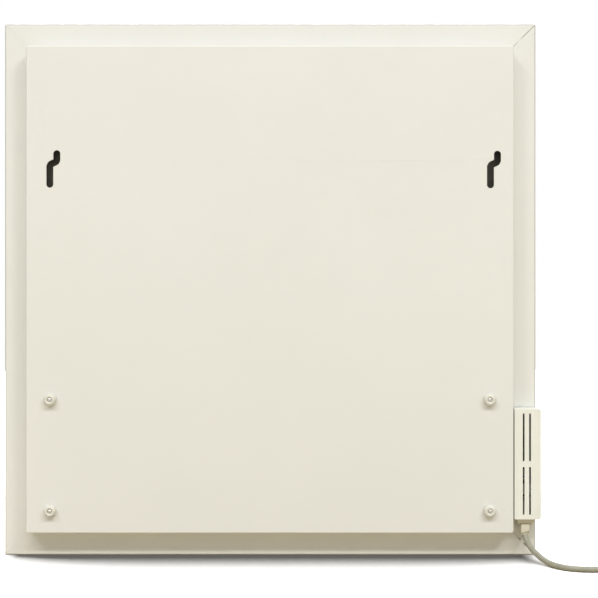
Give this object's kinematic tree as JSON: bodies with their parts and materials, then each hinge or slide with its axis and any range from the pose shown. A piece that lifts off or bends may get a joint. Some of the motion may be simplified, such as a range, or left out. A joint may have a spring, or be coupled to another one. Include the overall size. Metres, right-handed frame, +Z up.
{
  "type": "infrared panel heater",
  "caption": "Square infrared panel heater: folded steel tray, raised rear pan with hanging slots and wall spacers, side control housing with dial and rocker switch, mains lead in a tied coil.",
  "frame": {"origin": "middle of the tray's lower edge, on the floor, half-way through the tray's depth", "axes": "+Z up; the radiating front faces -Y and the wall side with the hanging slots faces +Y; the control housing is on the -X side"},
  "size_m": [0.7859, 0.1729, 0.6],
  "materials": {
    "powder_coat": "ivory powder coat, fine texture, satin",
    "cream_plastic": "moulded, lightly eroded",
    "dark_plastic": "moulded, matte",
    "grey_pvc": "soft PVC sheath, semi-matte",
    "zinc_steel": "zinc-plated",
    "heating_laminate": "glass laminate with carbon track",
    "insulation": "pressed mineral wool",
    "circuit_laminate": "solder-masked board",
    "core_insulation": "silicone-covered wire",
    "lamp_lens": "clear tinted lens"
  },
  "bodies": {
    "heater": {"front_tray": "powder_coat", "rear_pan": "powder_coat", "slot_pocket_left": "dark_plastic", "slot_pocket_right": "dark_plastic", "wall_spacer_upper_left": "cream_plastic", "wall_spacer_upper_right": "cream_plastic", "wall_spacer_lower_left": "cream_plastic", "wall_spacer_lower_right": "cream_plastic", "spacer_screw_upper_left": "zinc_steel", "spacer_screw_upper_right": "zinc_steel", "spacer_screw_lower_left": "zinc_steel", "spacer_screw_lower_right": "zinc_steel", "heating_mat": "heating_laminate", "insulation_board": "insulation", "thermal_cutout": "dark_plastic", "cutout_link": "core_insulation", "mat_terminal_live": "zinc_steel", "mat_terminal_neutral": "zinc_steel", "earth_stud": "zinc_steel", "earth_ring": "zinc_steel", "earth_nut": "zinc_steel", "control_base": "cream_plastic", "control_cover": "cream_plastic", "regulator_body": "dark_plastic", "switch_frame": "dark_plastic", "indicator_lens": "lamp_lens", "circuit_board": "circuit_laminate", "relay": "dark_plastic", "terminal_block": "cream_plastic", "terminal_screw_neutral": "zinc_steel", "terminal_screw_live": "zinc_steel", "terminal_screw_earth": "zinc_steel", "lead_grommet": "dark_plastic", "core_neutral": "core_insulation", "core_live": "core_insulation", "core_earth": "core_insulation", "cord_collar": "cream_plastic", "cord_sleeve": "cream_plastic", "sheath_inside": "grey_pvc", "mains_lead": "grey_pvc", "lead_coil": "grey_pvc", "plug_lead": "grey_pvc", "coil_tie": "dark_plastic", "plug_body": "grey_pvc", "plug_pin_left": "zinc_steel", "plug_pin_right": "zinc_steel", "plug_earth_clip_upper": "zinc_steel", "plug_earth_clip_lower": "zinc_steel"},
    "dial": {"thermostat_dial": "cream_plastic", "dial_spindle": "zinc_steel"},
    "rocker": {"switch_key": "dark_plastic"}
  },
  "joints": [
    {"name": "dial_turn", "type": "hinge", "parent": "heater", "child": "dial", "pos_m": [-0.291, -0.0015, 0.1402], "axis": [0, 1, 0], "range_deg": [0, 270]},
    {"name": "rocker_tip", "type": "hinge", "parent": "heater", "child": "rocker", "pos_m": [-0.3008, 0.0011, 0.0749], "axis": [0, 1, 0], "range_deg": [0, 16]}
  ]
}
